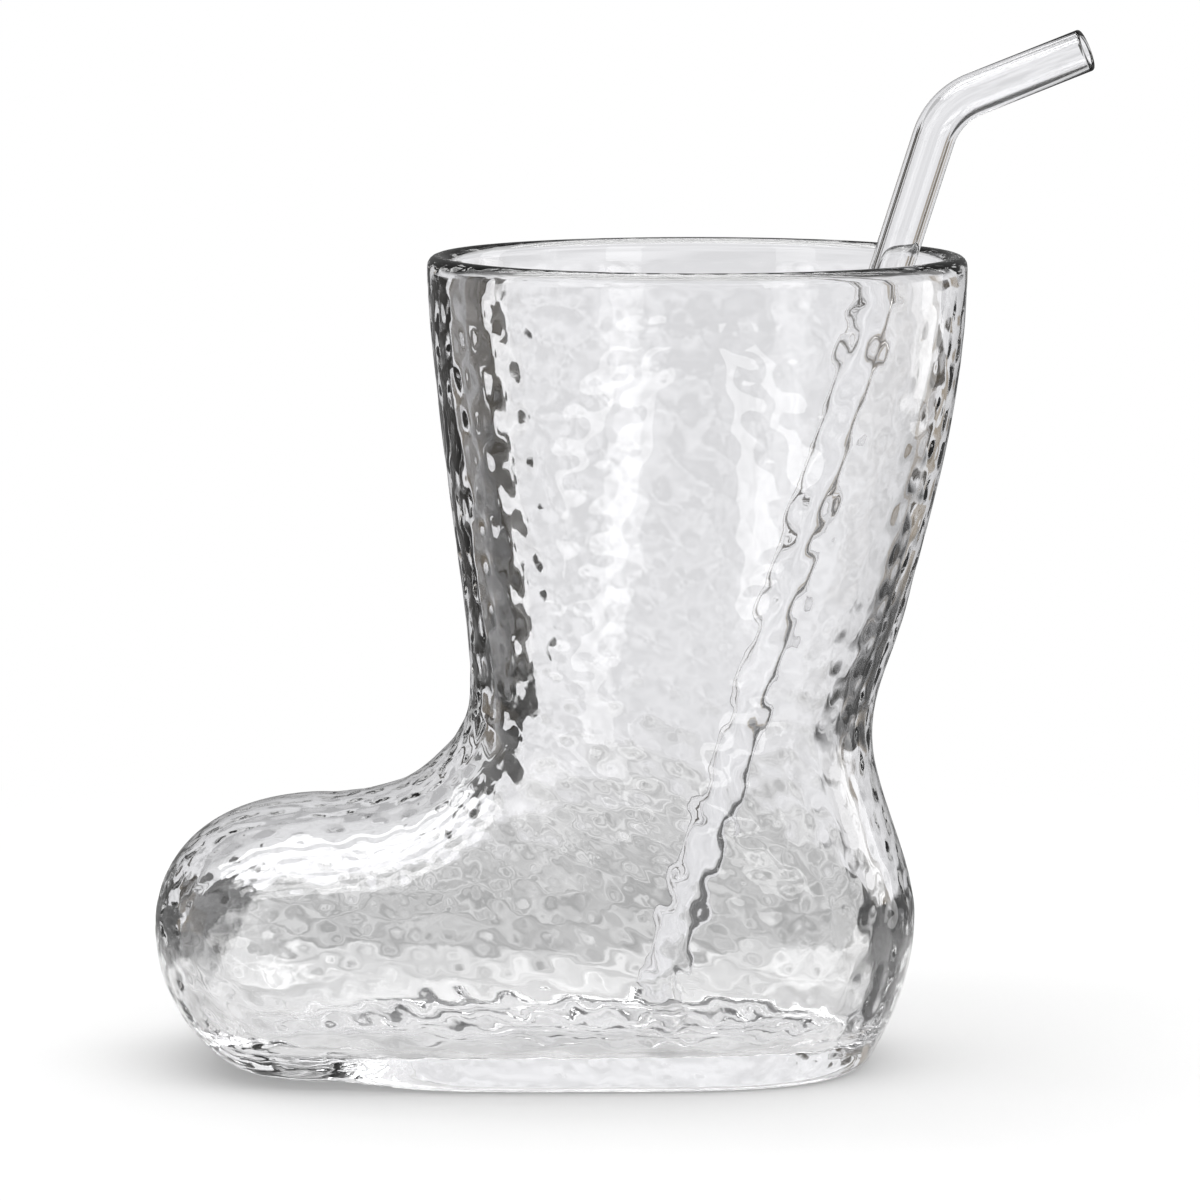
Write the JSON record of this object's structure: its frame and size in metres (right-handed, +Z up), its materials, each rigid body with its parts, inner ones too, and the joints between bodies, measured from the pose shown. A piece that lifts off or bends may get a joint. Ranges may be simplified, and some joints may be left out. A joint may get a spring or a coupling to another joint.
{
  "type": "boot-shaped cup with straw",
  "caption": "Boot-shaped drinking cup of thick clear hammered glass with a round rim and a flat sole, holding a loose bent glass drinking straw.",
  "frame": {"origin": "on the table plane at the flat sole, under the middle of the round rim", "axes": "+Z up, -X towards the toe, +X towards the heel, +Y to the boot's own side away from the picture's camera"},
  "size_m": [0.1727, 0.0982, 0.1892],
  "materials": {
    "boot_glass": "clear thick glass, hammered outside, smooth inside, fire-polished lip",
    "straw": "clear smooth glass tube with fire-polished ends"
  },
  "bodies": {
    "cup": {"boot_glass": "boot_glass"},
    "straw": {"straw": "straw"}
  },
  "joints": [
    {"name": "straw_lift", "type": "slide", "parent": "cup", "child": "straw", "axis": [0.3009, -0.0193, 0.9535], "range_m": [0, 0.155]}
  ]
}
